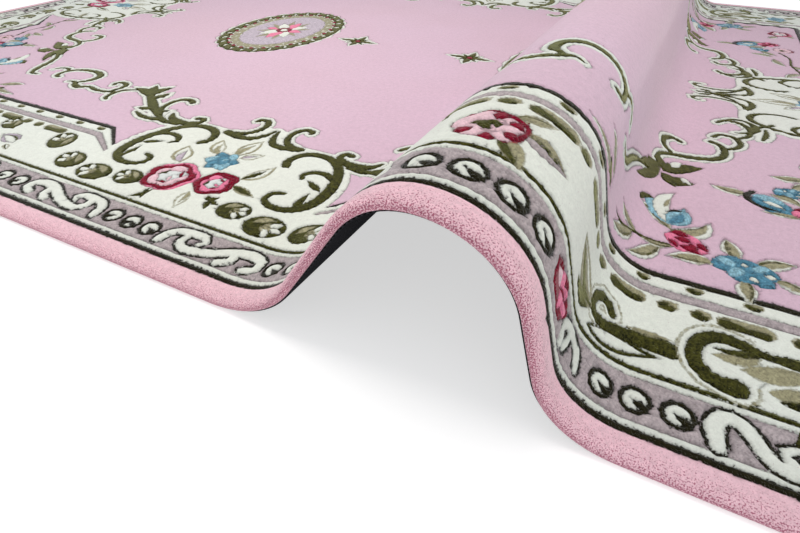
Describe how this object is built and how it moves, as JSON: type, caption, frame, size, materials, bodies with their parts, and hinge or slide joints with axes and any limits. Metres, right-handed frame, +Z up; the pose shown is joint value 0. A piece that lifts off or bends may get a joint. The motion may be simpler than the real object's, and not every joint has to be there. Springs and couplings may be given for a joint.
{
  "type": "baroque rug",
  "caption": "Rectangular hand-tufted rug with a carved floral scroll border, lying flat but for one wave across its width.",
  "frame": {"origin": "middle of the rug's outline on the floor", "axes": "+X along the rug's length, +Y across it away from the long edge in front, +Z up from the floor"},
  "size_m": [2.6974, 2.007, 0.2198],
  "materials": {
    "pile": "cut pile, carved, matt",
    "backing": "ribbed cloth, matt"
  },
  "bodies": {
    "root": {"pile_carpet": "pile", "backing_cloth": "backing"}
  },
  "joints": []
}
